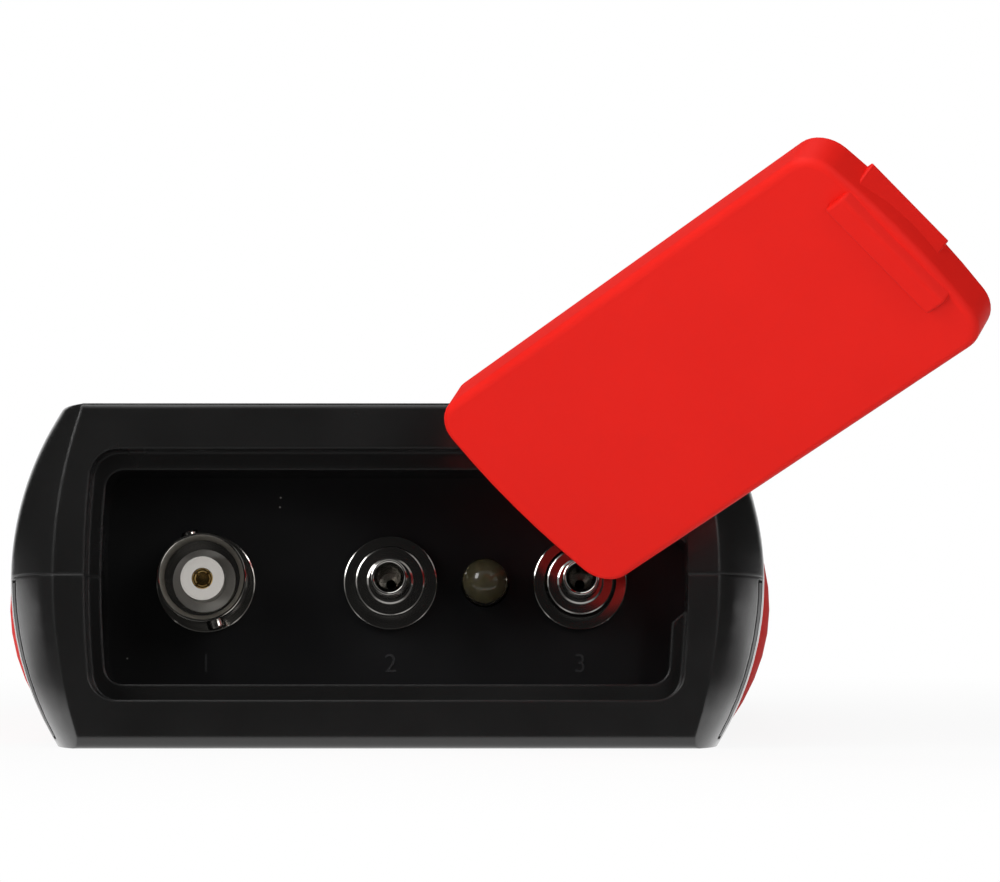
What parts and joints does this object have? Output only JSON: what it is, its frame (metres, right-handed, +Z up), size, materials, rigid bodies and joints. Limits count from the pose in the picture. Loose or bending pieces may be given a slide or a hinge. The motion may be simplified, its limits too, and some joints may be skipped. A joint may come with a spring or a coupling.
{
  "type": "ethernet cable tester",
  "caption": "Handheld cable and fibre tester: wedge case, recessed coaxial, power-meter and laser ports, torch lamp, swinging red port cover, sprung keys and tail-end network sockets.",
  "frame": {"origin": "the middle of the flat rear face, on the table", "axes": "+Z up out of the display face, +Y from the port end to the tail, +X to the right as the port end is seen"},
  "size_m": [0.1031, 0.237, 0.0622],
  "materials": {
    "case_black": "fine textured black",
    "grip_red": "satin red rubber",
    "cover_red": "smooth red rubber",
    "trim_black": "smooth black",
    "nickel": "bright nickel plate",
    "steel": "plain steel",
    "gold": "gold plate",
    "ptfe": "white fluoropolymer",
    "lamp": "clear resin over a dark reflector",
    "glass": "tinted cover glass",
    "screen": "dark display",
    "key_grey": "dark grey silicone",
    "seal": "black foam",
    "board": "green laminate",
    "cell": "wrapped cell",
    "ribbon": "amber film",
    "socket_black": "moulded socket"
  },
  "bodies": {
    "tester": {"front_case": "case_black", "rear_case": "case_black", "port_panel": "case_black", "panel_screws": "steel", "case_screws": "steel", "side_grip_left": "grip_red", "side_grip_right": "grip_red", "grip_trim_left": "trim_black", "grip_trim_right": "trim_black", "bnc_shell": "nickel", "bnc_insulator": "ptfe", "bnc_contact": "gold", "bnc_washer": "nickel", "bnc_nut": "nickel", "opm_adapter": "nickel", "opm_nut": "nickel", "opm_detector": "steel", "vfl_adapter": "nickel", "vfl_nut": "nickel", "vfl_laser": "steel", "torch_led": "lamp", "display_window": "glass", "lcd_module": "screen", "display_gasket": "seal", "lcd_bracket": "socket_black", "lcd_flex": "ribbon", "keypad_mat": "seal", "keypad_board": "board", "board_spacers": "steel", "main_board": "board", "board_screws": "steel", "battery_pack": "cell", "buzzer": "socket_black", "rj45_jack_1": "socket_black", "rj45_jack_2": "socket_black", "rj45_contacts_1": "gold", "rj45_contacts_2": "gold", "usb_socket": "steel"},
    "key_power": {"key_power": "key_grey"},
    "key_up": {"key_up": "key_grey"},
    "key_torch": {"key_torch": "key_grey"},
    "key_left": {"key_left": "key_grey"},
    "key_ok": {"key_ok": "key_grey"},
    "key_right": {"key_right": "key_grey"},
    "key_back": {"key_back": "key_grey"},
    "key_down": {"key_down": "key_grey"},
    "key_test": {"key_test": "key_grey"},
    "cover_sleeve": {"cover_sleeve": "cover_red"},
    "cover_stalk": {"cover_stalk": "cover_red"},
    "cover_neck": {"cover_neck": "cover_red"},
    "port_cover": {"port_cover": "cover_red"}
  },
  "joints": [
    {"name": "power_press", "type": "slide", "parent": "tester", "child": "key_power", "axis": [0, -0.0698, -0.9976], "range_m": [0, 0.0009], "stiffness_N_per_m": 600},
    {"name": "up_press", "type": "slide", "parent": "tester", "child": "key_up", "axis": [0, -0.0698, -0.9976], "range_m": [0, 0.0009], "stiffness_N_per_m": 600},
    {"name": "torch_press", "type": "slide", "parent": "tester", "child": "key_torch", "axis": [0, -0.0698, -0.9976], "range_m": [0, 0.0009], "stiffness_N_per_m": 600},
    {"name": "left_press", "type": "slide", "parent": "tester", "child": "key_left", "axis": [0, -0.0698, -0.9976], "range_m": [0, 0.0009], "stiffness_N_per_m": 600},
    {"name": "ok_press", "type": "slide", "parent": "tester", "child": "key_ok", "axis": [0, -0.0698, -0.9976], "range_m": [0, 0.0009], "stiffness_N_per_m": 600},
    {"name": "right_press", "type": "slide", "parent": "tester", "child": "key_right", "axis": [0, -0.0698, -0.9976], "range_m": [0, 0.0009], "stiffness_N_per_m": 600},
    {"name": "back_press", "type": "slide", "parent": "tester", "child": "key_back", "axis": [0, -0.0698, -0.9976], "range_m": [0, 0.0009], "stiffness_N_per_m": 600},
    {"name": "down_press", "type": "slide", "parent": "tester", "child": "key_down", "axis": [0, -0.0698, -0.9976], "range_m": [0, 0.0009], "stiffness_N_per_m": 600},
    {"name": "test_press", "type": "slide", "parent": "tester", "child": "key_test", "axis": [0, -0.0698, -0.9976], "range_m": [0, 0.0009], "stiffness_N_per_m": 600},
    {"name": "cover_push", "type": "slide", "parent": "tester", "child": "cover_sleeve", "axis": [0, 0.9976, -0.0698], "range_m": [0, 0.0044]},
    {"name": "cover_draw", "type": "slide", "parent": "cover_sleeve", "child": "cover_stalk", "axis": [0, 0.9976, -0.0698], "range_m": [-0.00134, 0.01266]},
    {"name": "cover_swivel", "type": "hinge", "parent": "cover_stalk", "child": "cover_neck", "pos_m": [0.02512, -0.0994, 0.02692], "axis": [0, -0.9976, 0.0698], "range_deg": [-15, 140.27]},
    {"name": "cover_tilt", "type": "hinge", "parent": "cover_neck", "child": "port_cover", "pos_m": [0.02512, -0.0994, 0.02692], "axis": [-0.8625, 0.0353, 0.5048], "range_deg": [-5, 47.81]}
  ],
  "couplings": [
    {"joint": "cover_draw", "follows": "cover_tilt", "m_per_rad": 0.015148}
  ]
}
